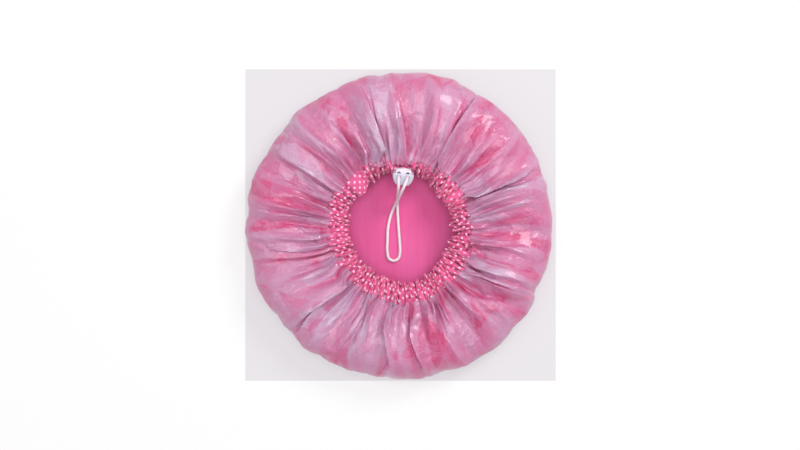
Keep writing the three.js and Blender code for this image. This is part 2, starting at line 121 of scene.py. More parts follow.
RIGHT_HOLE_SPAN = 33

# The photograph: millimetres a pixel, and the picture's size.
MM_PER_PIXEL = 0.98
PICTURE_WIDTH = 800
CAMERA_SHIFT = 1.0
LENS = 85
SENSOR = 36


def smooth(share):
    """An S-shaped step from 0 to 1."""
    share = np.clip(share, 0, 1)
    return share * share * (3 - 2 * share)


def circle(count):
    """The angles of points spaced evenly round a circle."""
    return np.arange(count) / count * 2 * math.pi


def wrapped(angle):
    """An angle in the range from minus pi to pi."""
    return np.arctan2(np.sin(angle), np.cos(angle))


def casing_tilt(angle):
    """The casing's lean toward the opening, steep beside the lock."""
    away = np.abs(wrapped(angle - LOCK_SIDE))
    share = smooth((DIP_END - away) / (DIP_END - DIP_FULL))
    return CASING_TILT + (CASING_LOCK_TILT - CASING_TILT) * share


def casing_radius(angle):
    """The casing's line, which wanders in and out as the photographed one does."""
    stops, shifts = np.array(CASING_WANDER).T
    stops = np.radians(np.concatenate([stops - 360, stops, stops + 360]))
    shifts = np.tile(shifts, 3)
    turned = np.mod(angle, 2 * math.pi)
    after = np.searchsorted(stops, turned, side="right")
    share = smooth((turned - stops[after - 1]) / (stops[after] - stops[after - 1]))
    return CASING_LINE_RADIUS + shifts[after - 1] + (shifts[after] - shifts[after - 1]) * share


def casing_point(angle, across, out):
    """A place on the casing: across its width from the cord's line, and out of its face."""
    tilt = casing_tilt(angle)
    radius = casing_radius(angle) + across * np.cos(tilt) - out * np.sin(tilt)
    height = CASING_EDGE_HEIGHT - (CASING_WIDTH / 2 - across) * np.sin(tilt) + out * np.cos(tilt)
    return np.stack([OPENING[0] + radius * np.cos(angle), OPENING[1] + radius * np.sin(angle), height], -1)


def seam_radius(angle):
    """How far from the opening's middle the film meets the casing."""
    tilt = casing_tilt(angle)
    return casing_radius(angle) + CASING_WIDTH / 2 * np.cos(tilt) + SEAM_GAP


def waves(angle, along, count, seed, most, reach):
    """Smooth wandering noise round the cap, as a sum of a few seeded waves."""
    rng = np.random.default_rng(seed)
    total = np.zeros(np.broadcast(angle, along).shape)
    for _ in range(count):
        turns = rng.integers(1, most + 1)
        slant = rng.uniform(-1, 1) * along / reach
        start = rng.uniform(0, 2 * math.pi)
        total = total + np.cos(turns * angle + slant + start)
    return total / math.sqrt(count)


class Pleats:
    """Irregular pleats round the opening, each with its own width, height, lean and reach."""

    HEIGHTS = (0.25, 1.25)
    SHAPES = (0.8, 1.4)
    PEAK_SHIFTS = (0.6, 1.1)
    LEANS = (0.1, 1.0)
    STARTS = (0.2, 1.0)
    LEAD_IN = 5
    LEAD_EASE = 4
    FLANK_HAZE_AND_SHEEN = 0.9
    TONE_HOLD = 1.6

    def __init__(self, count, seed, start, reach, lean, spread=0.35, one_sided=0.3, roundness=1):
        rng = np.random.default_rng(seed)
        widths = rng.uniform(1 - spread, 1 + spread, count)
        self.edges = np.concatenate([[0], np.cumsum(widths) / widths.sum()]) * 2 * math.pi
        self.heights = rng.uniform(*self.HEIGHTS, count)
        self.shapes = rng.uniform(*self.SHAPES, count)
        self.tones = rng.uniform(-1, 1, count)
        hands = rng.choice([-1, 1], count)
        self.peaks = 0.5 + 0.5 * one_sided * hands * rng.uniform(*self.PEAK_SHIFTS, count)
        self.leans = lean * hands * rng.uniform(*self.LEANS, count)
        self.starts = rng.uniform(*self.STARTS, count) * start
        self.reaches = rng.uniform(*reach, count)
        self.count = count
        self.roundness = roundness

    def __call__(self, angle, away):
        """Height, sideways lean and tone at an angle and a distance from the casing."""
        turned = np.mod(angle, 2 * math.pi)
        which = np.clip(np.searchsorted(self.edges, turned, side="right") - 1, 0, self.count - 1)
        low = self.edges[which]
        share = (turned - low) / (self.edges[which + 1] - low)
        peak = self.peaks[which]
        rise = np.where(share < peak, share / peak, (1 - share) / (1 - peak)) ** self.shapes[which]
        rise = 1 - (1 - rise) ** self.roundness
        begun = smooth((away + self.LEAD_IN) / (self.starts[which] + self.LEAD_EASE))
        fade = np.exp(-((away / self.reaches[which]) ** 2)) * begun
        height = self.heights[which] * rise * fade
        # Each pleat is paler toward its ridge: partly the film's haze where it stands off the lining,
        # partly painted sheen.
        tone = self.tones[which] + self.FLANK_HAZE_AND_SHEEN * (rise - 0.5)
        tone = tone * np.clip(fade * self.TONE_HOLD, 0, 1)
        return height, height * self.leans[which], tone


# Points along each part of the film's profile.
PROFILE_SAMPLES = 240


def film_profile():
    """The film's radius, height and length along itself, from the crown's middle to the casing."""
    turn = np.linspace(0, math.pi / 2, PROFILE_SAMPLES)
    share = np.linspace(0, 1, PROFILE_SAMPLES)
    edge = SEAM_RADIUS
    parts = [
        (CROWN_FLAT_RADIUS * share, 0 * share),
        (CROWN_FLAT_RADIUS + (CAP_RADIUS - CROWN_FLAT_RADIUS) * np.sin(turn),
         RIM_HEIGHT * (1 - np.cos(turn))),
        (CREST_RADIUS + (CAP_RADIUS - CREST_RADIUS) * np.cos(turn),
         RIM_HEIGHT + (CREST_HEIGHT - RIM_HEIGHT) * np.sin(turn)),
        (CREST_RADIUS + (edge - CREST_RADIUS) * share,
         CREST_HEIGHT - (CREST_HEIGHT - CASING_EDGE_HEIGHT) * (1 - np.cos(math.pi * share)) / 2),
        (edge - TUCK * share, CASING_EDGE_HEIGHT - TUCK * share * TUCK_DROP),
    ]
    joined = [np.stack(part)[:, (1 if i else 0):] for i, part in enumerate(parts)]
    radius, height = np.concatenate(joined, axis=1)
    length = np.concatenate([[0], np.cumsum(np.hypot(np.diff(radius), np.diff(height)))])
    return radius, height, length


PROFILE_RADIUS, PROFILE_HEIGHT, PROFILE_LENGTH = film_profile()
CLOTH_RADIUS = PROFILE_LENGTH[-PROFILE_SAMPLES]
RIM_LENGTH = PROFILE_LENGTH[np.argmax(PROFILE_RADIUS)]

# The grid of the cloth: a few rows on the flat crown, close rows from there to the casing.
CROWN_ROWS = 7
FIRST_ROW = 14
CROWN_ROW_GAP = 4
PLEATED_ROWS = 92
CLOTH_ROWS = np.concatenate([
    np.linspace(FIRST_ROW, CROWN_FLAT_RADIUS - CROWN_ROW_GAP, CROWN_ROWS),
    np.linspace(CROWN_FLAT_RADIUS, PROFILE_LENGTH[-1], PLEATED_ROWS),
])
CLOTH_COLUMNS = 780
# Cloth round each ring, as a share of the flat disc's.
CLOTH_SHARE = 0.97
FLOOR_GAP = 0.25

# Above the knee the folds' height is eased.
HEIGHT_KNEE = 50
HEIGHT_EASE = 0.4

# Distances from the casing between which the rim lies, with an easing on each side.
RIM_AWAY = (55, 75, 100, 125)

# The creased facets: the radius they are laid out at, how far their corners stray, and what
# turns their corners into a tone.
FACET_RADIUS = 115
FACET_JITTER = 0.42
TONE_STEP = 12.9898
TONE_SCALE = 43758.5453


def crumple(angle, along, step, stretch, seed):
    """Flat facets with crisp creases, as in handled film: their height and a tone for each."""
    rng = np.random.default_rng(seed)
    girth = 2 * math.pi * FACET_RADIUS
    across_count = round(girth / step)
    rows = round((CLOTH_RADIUS - CROWN_FLAT_RADIUS) / (step * stretch))
    low = CROWN_FLAT_RADIUS - step
    seeds = []
    for row in range(rows + 2):
        for cell in range(across_count):
            aside = rng.uniform(-FACET_JITTER, FACET_JITTER)
            x = (cell + 0.5 * (row % 2) + aside) * girth / across_count
            ahead = rng.uniform(-FACET_JITTER, FACET_JITTER)
            y = low + (row + ahead) * (CLOTH_RADIUS + 2 * step - low) / (rows + 1)
            seeds.append((x % girth, y))
    seeds = np.array(seeds)
    heights = rng.uniform(-1, 1, len(seeds))
    copies = np.concatenate([seeds, seeds + (girth, 0), seeds - (girth, 0)])
    near = (copies[:, 0] > -3 * step) & (copies[:, 0] < girth + 3 * step)
    copies = copies[near]
    owner = np.tile(np.arange(len(seeds)), 3)[near]
    flattened = copies * (1, 1 / stretch)
    made = delaunay_2d_cdt([Vector(point) for point in flattened], [], [], 0, 1e-6)
    facets, sources = made[2], made[3]
    height = np.zeros(angle.shape)
    tone = np.zeros(angle.shape)
    grid_x = angle[0] * FACET_RADIUS
    grid_y = along[:, 0]
    for facet in facets:
        corners = [sources[corner][0] for corner in facet]
        (ax, ay), (bx, by), (cx, cy) = copies[corners]
        columns = np.nonzero((grid_x >= min(ax, bx, cx)) & (grid_x <= max(ax, bx, cx)))[0]
        lines = np.nonzero((grid_y >= min(ay, by, cy)) & (grid_y <= max(ay, by, cy)))[0]
        area = (by - cy) * (ax - cx) + (cx - bx) * (ay - cy)
        if not len(columns) or not len(lines) or abs(area) < 1e-6:
            continue
        x, y = np.meshgrid(grid_x[columns], grid_y[lines])
        first = ((by - cy) * (x - cx) + (cx - bx) * (y - cy)) / area
        second = ((cy - ay) * (x - cx) + (ax - cx) * (y - cy)) / area
        third = 1 - first - second
        inside = (first >= 0) & (second >= 0) & (third >= 0)
        spot = np.ix_(lines, columns)
        own = owner[corners]
        level = first * heights[own[0]] + second * heights[own[1]] + third * heights[own[2]]
        height[spot] = np.where(inside, level, height[spot])
        shade = math.sin(float(own.sum()) * TONE_STEP) * TONE_SCALE
        tone[spot] = np.where(inside, 2 * (shade - math.floor(shade)) - 1, tone[spot])
    return height, tone


# Three sizes of pleats that merge away from the casing.
FINE = Pleats(count=86, seed=11, start=1, reach=(9, 34), lean=0.15)
MIDDLE = Pleats(count=39, seed=23, start=12, reach=(22, 74), lean=0.45, spread=0.6, one_sided=0.62)
BROAD = Pleats(count=18, seed=37, start=38, reach=(50, 112), lean=0.9, spread=0.6, one_sided=0.74)
PLEAT_COUNT = FINE.count

# How the pleats bend round the cap. Each size has its share of the bend, its turn, its shares
# of height and tone, and whether the panels calm it.
BEND = 0.05
BEND_AWAY = 60
PLEAT_SIZES = [
    (FINE, 0.4, 0, 0.8, 0.3, True),
    (MIDDLE, 1, 0, 0.95, 0.4, True),
    (BROAD, 1.5, 0.03, 1.25, 0.33, False),
]

# Smooth panels beside the lock: place and half width in degrees, and how far each is calmed.
CALM_PANELS = [(70, 15, 0.75), (107, 10, 0.55), (38, 8, 0.45)]


def fold_field(angle, along):
    """The folds of the gathered cloth: height above the plain shape, sideways lean, and tone."""
    away = np.maximum(CLOTH_RADIUS - along, 0)
    bend = BEND * waves(angle, along, count=9, seed=5, most=9, reach=24) * smooth(away / BEND_AWAY)
    lively = 1
    for side, half_width, share in CALM_PANELS:
        turned = wrapped(angle - math.radians(side)) / math.radians(half_width)
        lively = lively - share * np.exp(-(turned ** 4))
    height, lean, tone = 0, 0, 0
    for pleats, bend_share, turn, height_share, tone_share, calmed in PLEAT_SIZES:
        own_height, own_lean, own_tone = pleats(angle + bend_share * bend + turn, away)
        left = lively if calmed else 1
        height = height + height_share * (left * own_height)
        lean = lean + height_share * (left * own_lean)
        tone = tone + tone_share * (left * own_tone)
    return height, lean, tone


# How far the cloth follows the opening and the casing's lean, by the distance from the casing.
AWAY_STOPS = [0, 18.5, 37, 64, 79, 95, CLOTH_RADIUS]
OPENING_SHARES = [1, 0.75, 0.4, 0.2, 0.05, 0, 0]
DIP_SHARES = [1, 0.5, 0.1, 0, 0, 0, 0]


def cloth_point(angle, along, lift, side):
    """A place on the gathered cloth, lifted off its plain shape and moved sideways."""
    radius = np.interp(along, PROFILE_LENGTH, PROFILE_RADIUS)
    height = np.interp(along, PROFILE_LENGTH, PROFILE_HEIGHT)
    slope_out = np.interp(along, PROFILE_LENGTH, np.gradient(PROFILE_RADIUS, PROFILE_LENGTH))
    slope_up = np.interp(along, PROFILE_LENGTH, np.gradient(PROFILE_HEIGHT, PROFILE_LENGTH))
    size = np.hypot(slope_out, slope_up)
    normal_out, normal_up = slope_up / size, -slope_out / size
    away = CLOTH_RADIUS - along
    shift = np.interp(away, AWAY_STOPS, OPENING_SHARES)
    dip = (seam_radius(angle) - SEAM_RADIUS) * np.interp(away, AWAY_STOPS, DIP_SHARES)
    rim_share = np.exp(-(((along - RIM_LENGTH) / RIM_SPREAD) ** 2))
    rim_shift = np.interp(np.degrees(angle), *np.transpose(RIM_WANDER), period=360) * rim_share
    reach = radius + dip + rim_shift + lift * normal_out
    x = OPENING[0] * shift + reach * np.cos(angle) - side * np.sin(angle)
    y = OPENING[1] * shift + reach * np.sin(angle) + side * np.cos(angle)
    return np.stack([x, y, height + lift * normal_up], -1)


def ring_length(points):
    """The length round each closed row of points."""
    return np.linalg.norm(np.roll(points, -1, axis=1) - points, axis=2).sum(axis=1)


# How deep the folds are: the search for it, their start past the flat crown, and the most by the
# distance from the casing.
FOLD_CENTRE = 0.8
FOLD_MOST = 12.0
FOLD_HALVINGS = 14
FOLD_START = 6
FOLD_EASE = 45
LIFT_AWAY = [-4, 0, 9, 30, 60, 82, 100, 150]
LIFT_MOST = [4.2, 5, 10, 11, 7.5, 2.8, 1.6, 1.5]

# The creased facets in two sizes, less deep on the rim and faded out at the casing.
CREASE_HEIGHT = 3.4
SMALL_CREASE_HEIGHT = 1.3
CREASE_RIM_SHARE = 0.6
CREASE_SEAM_EASE = 22
CREASE_ANGLE = math.radians(13)
# Each facet's tone is a painted sheen, paler or pinker facet by facet.
FACET_SHEEN = 0.34
SMALL_FACET_SHEEN = 0.25

# The film gets a painted sheen, paler away from this side.
SHEEN_LEAN = 0.13
SHEEN_SIDE = math.radians(100)


def gathered_cloth():
    """A grid of points for a disc of cloth that keeps its own length round each ring."""
    angle, along = np.meshgrid(circle(CLOTH_COLUMNS), CLOTH_ROWS)
    height, lean, tone = fold_field(angle, along)
    spread = height - FOLD_CENTRE * height.mean(axis=1, keepdims=True)
    target = 2 * math.pi * CLOTH_ROWS * CLOTH_SHARE
    low = np.zeros(len(CLOTH_ROWS))
    high = np.full(len(CLOTH_ROWS), FOLD_MOST)
    for _ in range(FOLD_HALVINGS):
        scale = (low + high) / 2
        points = cloth_point(angle, along, scale[:, None] * spread, scale[:, None] * lean)
        short = ring_length(points) < target
        low = np.where(short, scale, low)
        high = np.where(short, high, scale)
    floor_fade = smooth((CLOTH_ROWS - CROWN_FLAT_RADIUS - FOLD_START) / FOLD_EASE)
    away = CLOTH_RADIUS - CLOTH_ROWS
    scale = np.minimum(scale, np.interp(away, LIFT_AWAY, LIFT_MOST)) * floor_fade
    smoothed = np.convolve(np.pad(scale, 1, mode="edge"), np.ones(3) / 3, mode="valid")
    creases, facets = crumple(angle, along, step=16, stretch=3.0, seed=71)
    small_creases, small_facets = crumple(angle, along, step=8, stretch=2.2, seed=72)
    rim = np.interp(away, RIM_AWAY, (1, CREASE_RIM_SHARE, CREASE_RIM_SHARE, 1))
    crease_fade = (floor_fade * rim)[:, None] * smooth((CLOTH_RADIUS - along) / CREASE_SEAM_EASE)
    creases = (CREASE_HEIGHT * creases + SMALL_CREASE_HEIGHT * small_creases) * crease_fade
    tone = tone + FACET_SHEEN * facets + SMALL_FACET_SHEEN * small_facets
    tone = tone - SHEEN_LEAN * np.cos(angle - SHEEN_SIDE)
    points = cloth_point(angle, along, smoothed[:, None] * spread + creases, smoothed[:, None] * lean)
    points[..., 2] = np.maximum(points[..., 2], FLOOR_GAP)
    fold = np.clip(height / np.maximum(height.max(axis=1, keepdims=True), 1e-6), 0, 1)
    return points, angle, along, fold, tone


def scene_object(name, data):
    """A new object, put into the scene."""
    made = bpy.data.objects.new(name, data)
    bpy.context.scene.collection.objects.link(made)
    return made


# The cloth simulation that buckles the gathered cloth: made larger, because Cloth suits metre
# sizes, and coarser than the finished cloth.
BUCKLE_SCALE = 10
BUCKLE_FRAMES = 16
BUCKLE_GROWTH = 0.05
BUCKLE_COLUMNS = 195
BUCKLE_ROW_STEP = 2
BUCKLE_MOST = 5
BUCKLE_RIM_SHARE = 0.35

# Distances from the casing up to which, and past which, its points are held.
HELD_SEAM = 5
HELD_CROWN = 150
BUCKLE_SETTINGS = {
    "quality": 6,
    "mass": 0.2,
    "tension_stiffness": 40,
    "compression_stiffness": 40,
    "shear_stiffness": 15,
    "bending_stiffness": 0.4,
    "tension_damping": 5,
    "compression_damping": 5,
    "shear_damping": 5,
    "air_damping": 2,
    "shrink_min": -BUCKLE_GROWTH,
    "vertex_group_mass": "held",
}


def buckling(points):
    """How far each point of a coarse copy of the cloth moves as it buckles between held edges."""
    coarse = points[::BUCKLE_ROW_STEP, ::points.shape[1] // BUCKLE_COLUMNS]
    rows, columns, _ = coarse.shape
    mesh = bpy.data.meshes.new("buckling")
    places = coarse.reshape(-1, 3) * METRE * BUCKLE_SCALE
    mesh.from_pydata(places.tolist(), [], ring_faces(rows, columns))
    cloth = scene_object("buckling", mesh)
    away = CLOTH_RADIUS - CLOTH_ROWS[::BUCKLE_ROW_STEP]
    held = [row for row in range(rows) if away[row] < HELD_SEAM or away[row] > HELD_CROWN]
    group = cloth.vertex_groups.new(name="held")
    group.add([row * columns + column for row in held for column in range(columns)], 1.0, "REPLACE")
    settings = cloth.modifiers.new("cloth", "CLOTH").settings
    for setting, value in BUCKLE_SETTINGS.items():
        setattr(settings, setting, value)
    settings.effector_weights.gravity = 0
    cloth.modifiers["cloth"].point_cache.frame_end = BUCKLE_FRAMES
    for frame_number in range(1, BUCKLE_FRAMES + 1):
        bpy.context.scene.frame_set(frame_number)
    shaped = cloth.evaluated_get(bpy.context.evaluated_depsgraph_get()).to_mesh()
    after = np.zeros(rows * columns * 3)
    shaped.vertices.foreach_get("co", after)
    bpy.data.objects.remove(cloth)
    bpy.context.scene.frame_set(1)
    moves = after.reshape(rows, columns, 3) / (METRE * BUCKLE_SCALE) - coarse
    far = np.linalg.norm(moves, axis=2, keepdims=True)
    rim = np.interp(away, RIM_AWAY, (1, BUCKLE_RIM_SHARE, BUCKLE_RIM_SHARE, 1))[:, None, None]
    return moves * rim * np.minimum(1, BUCKLE_MOST / np.maximum(far, 1e-6))


def buckled(points, moves):
    """The cloth with the moves of its coarse copy, as flat facets between that copy's points."""
    rows, columns, _ = moves.shape
    moves = np.concatenate([moves, moves[:, :1]], axis=1)
    column = np.arange(points.shape[1]) / points.shape[1] * columns
    row = np.minimum(np.arange(points.shape[0]) / BUCKLE_ROW_STEP, rows - 1 - 1e-6)
    low_row, low_column = row.astype(int), column.astype(int)
    up, over = (row - low_row)[:, None, None], (column - low_column)[None, :, None]
    corner = moves[low_row][:, low_column]
    beside = moves[low_row][:, low_column + 1]
    above = moves[low_row + 1][:, low_column]
    opposite = moves[low_row + 1][:, low_column + 1]
    lower = corner + (beside - corner) * over + (opposite - beside) * up
    upper = corner + (above - corner) * up + (opposite - above) * over
    return points + np.where(over > up, lower, upper)


def mesh_piece(name, points, faces, material, smooth_faces=True):
    """A mesh object from points in millimetres."""
    mesh = bpy.data.meshes.new(name)
    mesh.from_pydata((np.asarray(points) * METRE).tolist(), [], faces)
    mesh.validate()
    mesh.polygons.foreach_set("use_smooth", [smooth_faces] * len(mesh.polygons))
    mesh.materials.append(material)
    return scene_object(name, mesh)


def ring_faces(rows, columns, first=0, close_rows=False):
    """Four-sided faces between closed rows of points."""
    faces = []
    for row in range(rows if close_rows else rows - 1):
        here = first + row * columns
        there = first + ((row + 1) % rows) * columns
        for column in range(columns):
            after = (column + 1) % columns
            faces.append((here + column, here + after, there + after, there + column))
    return faces


def point_attribute(piece, name, values, kind="FLOAT"):
    """A value kept at each point of a piece, for its material."""
    layer = piece.data.attributes.new(name, kind, "POINT")
    field = "value" if kind == "FLOAT" else "vector"
    layer.data.foreach_set(field, np.asarray(values, dtype=np.float32).ravel())


class Shader:
    """A material under construction: adds nodes and links them."""

    def __init__(self, name, **values):
        self.material = bpy.data.materials.new(name)
        self.material.use_nodes = True
        self.tree = self.material.node_tree
        self.surface = self.tree.nodes["Principled BSDF"]
        for socket, value in values.items():
            self.surface.inputs[socket.replace("_", " ")].default_value = value

    def node(self, kind, settings=(), **inputs):
        made = self.tree.nodes.new(kind)
        for setting, value in dict(settings).items():
            setattr(made, setting, value)
        for socket, value in inputs.items():
            numbered = socket[0] == "i" and socket[1:].isdigit()
            key = int(socket[1:]) if numbered else socket.replace("_", " ")
            self.put(made.inputs[key], value)
        return made

    def put(self, socket, value):
        if isinstance(value, bpy.types.NodeSocket):
            self.tree.links.new(value, socket)
        else:
            socket.default_value = value

    def math(self, operation, a, b=0.0, clamp=False):
        settings = {"operation": operation, "use_clamp": clamp}
        return self.node("ShaderNodeMath", settings, i0=a, i1=b).outputs[0]

    def total(self, *parts):
        """The sum of sockets, each times its share."""
        level = None
        for socket, share in parts:
            part = self.math("MULTIPLY", socket, share)
            level = part if level is None else self.math("ADD", level, part)
        return level

    def attribute(self, name, output="Fac"):
        return self.node("ShaderNodeAttribute", {"attribute_name": name}).outputs[output]

    def place(self):
        return self.node("ShaderNodeTexCoord").outputs["Object"]

    def coordinates(self, source, scale):
        return self.node("ShaderNodeMapping", Vector=source, Scale=scale).outputs[0]

    def noise(self, place, stretch, scale=1.0, detail=3.0, roughness=0.5):
        vector = self.coordinates(place, stretch)
        inputs = {"Vector": vector, "Scale": scale, "Detail": detail, "Roughness": roughness}
        return self.node("ShaderNodeTexNoise", **inputs).outputs[0]

    def mix(self, factor, a, b):
        made = self.node("ShaderNodeMix", {"data_type": "RGBA"})
        self.put(made.inputs["Factor"], factor)
        self.put(made.inputs[6], a)
        self.put(made.inputs[7], b)
        return made.outputs[2]

    def ramp(self, factor, stops):
        made = self.node("ShaderNodeValToRGB", Fac=factor)
        ramp = made.color_ramp
        while len(ramp.elements) < len(stops):
            ramp.elements.new(0.5)
        for element, (place, colour) in zip(ramp.elements, stops):
            element.position = place
            element.color = colour
        return made.outputs[0]

    def bump(self, height, distance, strength=1.0, under=None):
        made = self.node("ShaderNodeBump", Height=height, Distance=distance, Strength=strength)
        if under is not None:
            self.put(made.inputs["Normal"], under)
        return made.outputs[0]

    def finish(self, **links):
        for socket, value in links.items():
            self.put(self.surface.inputs[socket.replace("_", " ")], value)
        return self.material


def colour(red, green, blue):
    """A colour for a shader from the 0 to 255 values seen in the photograph."""
    def linear(value):
        value /= 255
        return value / 12.92 if value <= 0.04045 else ((value + 0.055) / 1.055) ** 2.4
    return (linear(red), linear(green), linear(blue), 1.0)


# What tints the film, from hot pink to lilac white, the lilac white partly its real haze off the lining
# and partly painted sheen: how much each pattern adds.
FOLD_TINT = 0.2
STREAK_TINT = 0.3
PATCH_TINT = 0.16
HAZE_AND_SHEEN_TINT = 0.58
PULL_TINT = 0.7
# Near the casing the film is painted paler, a painted lift against the shade of its pleats.
NEAR_PAINTED_LIFT = 0.13
BASE_TINT = 0.12

# How far from the casing its pulls and the painted lift reach, in gather lengths, and where the film is
# worn.
NEAR_REACH = 1.35
WORN_START = 0.47
WORN_STEEPNESS = 7


def film_material():
    """Hazy waterproof film: lilac white where it stands off the lining, partly real haze and partly
    painted sheen, else hot pink.
    """
    shader = Shader("film", Roughness=0.3, Specular_IOR_Level=0.7, Coat_Weight=0.5,
                    Coat_Roughness=0.11)
    gather = shader.attribute("gather", "Vector")
    fold = shader.attribute("fold")
    streaks = shader.noise(gather, (3.4, 3.4, 0.9), 2.6, 4.0, 0.6)
    patches = shader.noise(gather, (1.3, 1.3, 1.1), 2.2)
    # Nearness to the casing, for its pulls and for the painted lift.
    near = shader.node("ShaderNodeSeparateXYZ", Vector=gather).outputs[2]
    near = shader.math("SUBTRACT", NEAR_REACH, near, clamp=True)
    pulls = shader.noise(gather, (15, 15, 1.2), 1.7, 3.0, 0.55)
    pulls = shader.math("MULTIPLY", shader.math("SUBTRACT", pulls, 0.5), near)
    level = shader.total((fold, FOLD_TINT), (streaks, STREAK_TINT), (patches, PATCH_TINT),
                         (shader.attribute("tone"), HAZE_AND_SHEEN_TINT), (pulls, PULL_TINT), (near, NEAR_PAINTED_LIFT))
    level = shader.math("ADD", level, BASE_TINT, clamp=True)
    # The ramp's pale end is partly the film's real haze and partly painted sheen.
    tint = shader.ramp(level, [
        (0.02, colour(209, 72, 126)), (0.2, colour(211, 106, 153)),
        (0.44, colour(209, 130, 170)), (0.68, colour(207, 145, 182)), (0.95, colour(208, 171, 201)),
    ])
    crinkle = shader.noise(gather, (9, 9, 5), 5.0, 5.0, 0.62)
    fine = shader.noise(gather, (30, 30, 22), 6.0, 3.0, 0.6)
    ridges = shader.noise(gather, (4, 4, 1.6), 2.6, 2.0)
    ridges = shader.math("ABSOLUTE", shader.math("SUBTRACT", ridges, 0.5))
    worn = shader.math("SUBTRACT", patches, WORN_START)
    worn = shader.math("MULTIPLY", worn, WORN_STEEPNESS, clamp=True)
    normal = shader.bump(shader.math("MULTIPLY", ridges, worn), 0.01, 0.6)
    normal = shader.bump(crinkle, 0.0018, 0.6, normal)
    normal = shader.bump(fine, 0.0004, 0.4, normal)
    normal = shader.bump(pulls, 0.004, 0.6, normal)
    return shader.finish(Base_Color=tint, Normal=normal)


def lining_material():
    """Soft hot pink lining cloth with a faint vertical shade and a fine weave."""
    shader = Shader("lining", Roughness=0.62, Specular_IOR_Level=0.3, Sheen_Weight=0.25,
                    Sheen_Roughness=0.4)
    place = shader.place()
    streaks = shader.noise(place, (260, 16, 40))
    clouds = shader.noise(place, (14, 14, 14), detail=2.0)
    level = shader.total((streaks, 0.35), (clouds, 0.65))
    tint = shader.ramp(level, [(0.3, colour(227, 82, 147)), (0.7, colour(236, 102, 167))])
    weave = shader.noise(place, (2600, 2600, 2600), detail=2.0)
    folds = shader.noise(place, (70, 9, 30))
    normal = shader.bump(weave, 0.00008, 0.5)
    normal = shader.bump(folds, 0.0012, 0.35, normal)
    return shader.finish(Base_Color=tint, Normal=normal)


# The printed dots, with the width and sharpness of their edges.
DOT_PITCH = 7.8
DOT_RADIUS = 1.2
DOT_EDGE = 0.12
DOT_SHARPNESS = 4.0
THREADS_PER_MM = 3.2


def dots(shader, across, along):
    """A staggered grid of dots in cloth millimetres: 1 inside a dot and 0 outside."""
    nearest = None
    for shift in (0.0, 0.5):
        legs = []
        for value in (across, along):
            cell = shader.math("ADD", shader.math("DIVIDE", value, DOT_PITCH), shift)
            cell = shader.math("FRACT", cell)
            leg = shader.math("MULTIPLY", shader.math("SUBTRACT", cell, 0.5), DOT_PITCH)
            legs.append(shader.math("MULTIPLY", leg, leg))
        squared = shader.math("ADD", *legs)
        nearest = squared if nearest is None else shader.math("MINIMUM", nearest, squared)
    inside = shader.math("SUBTRACT", DOT_RADIUS + DOT_EDGE, shader.math("SQRT", nearest))
    return shader.math("MULTIPLY", inside, DOT_SHARPNESS, clamp=True)


def casing_material():
    """Printed polka-dot cotton, gathered, with its weave, painted shade in its pleats' valleys and painted
    light on their crests.
    """
    shader = Shader("casing", Roughness=0.75, Specular_IOR_Level=0.25, Sheen_Weight=0.3,
                    Sheen_Roughness=0.5)
    cut = shader.node("ShaderNodeSeparateXYZ", Vector=shader.attribute("cut", "Vector"))
    mask = dots(shader, cut.outputs[0], cut.outputs[1])
    pleat_shading = shader.attribute("pleat_shading")
    # Painted shade: dark red in the pleats' valleys, bright pink on their crests and lumps.
    ground = shader.mix(pleat_shading, colour(84, 4, 40), colour(252, 106, 166))
    tint = shader.mix(mask, ground, colour(255, 206, 228))
    threads = shader.coordinates(shader.attribute("cut", "Vector"), [THREADS_PER_MM] * 3)
    weave = shader.node("ShaderNodeTexChecker", Vector=threads, Scale=1.0).outputs[1]
    normal = shader.bump(weave, 0.00006, 0.35)
    return shader.finish(Base_Color=tint, Normal=normal)


# The cord's braid: strands round it in each hand, and the length of one crossing.
STRANDS = 8
BRAID_PITCH = 1.1


def cord_material():
    """Braided elastic cord, pinkish white."""
    shader = Shader("cord", Roughness=0.6, Specular_IOR_Level=0.3, Sheen_Weight=0.3, Sheen_Roughness=0.4)
    lay = shader.node("ShaderNodeSeparateXYZ", Vector=shader.attribute("lay", "Vector"))
    turn, run = lay.outputs[0], lay.outputs[1]
    ridges = []
    for hand in (1, -1):
        strand = shader.math("ADD", shader.math("MULTIPLY", turn, STRANDS * hand), run)
        strand = shader.math("SINE", shader.math("MULTIPLY", strand, math.pi))
        ridges.append(shader.math("ABSOLUTE", strand))
    braid = shader.math("MULTIPLY", *ridges)
    tint = shader.mix(braid, colour(255, 232, 244), colour(255, 254, 255))
    return shader.finish(Base_Color=tint, Normal=shader.bump(braid, 0.0002, 0.8))


# How much lighter the plastic's grain is.
GRAIN_LIFT = 1.04


def plastic_material(name, tone):
    """Moulded white plastic with a faint mould texture."""
    shader = Shader(name, Roughness=0.28, Specular_IOR_Level=0.5, Coat_Weight=0.3,
                    Coat_Roughness=0.1, Subsurface_Weight=0.15, Subsurface_Scale=0.002)
    place = shader.place()
    grain = shader.noise(place, (900, 900, 900))
    lighter = [min(1.0, value * GRAIN_LIFT) for value in tone[:3]]
    tint = shader.mix(grain, tone, (*lighter, 1.0))
    return shader.finish(Base_Color=tint, Normal=shader.bump(grain, 0.00003, 0.4))


def steel_material():
    """Drawn spring wire."""
    shader = Shader("spring", Metallic=1.0, Roughness=0.32)
    place = shader.place()
    grain = shader.noise(place, (1500, 1500, 300), detail=2.0)
    tint = shader.ramp(grain, [(0.3, colour(170, 172, 176)), (0.7, colour(214, 216, 220))])
    return shader.finish(Base_Color=tint)


def outward(points):
    """The direction out of the cap at each point of a grid of closed rows."""
    around = np.roll(points, -1, axis=1) - np.roll(points, 1, axis=1)
    normal = np.cross(around, np.gradient(points, axis=0))
    return normal / np.maximum(np.linalg.norm(normal, axis=2, keepdims=True), 1e-9)


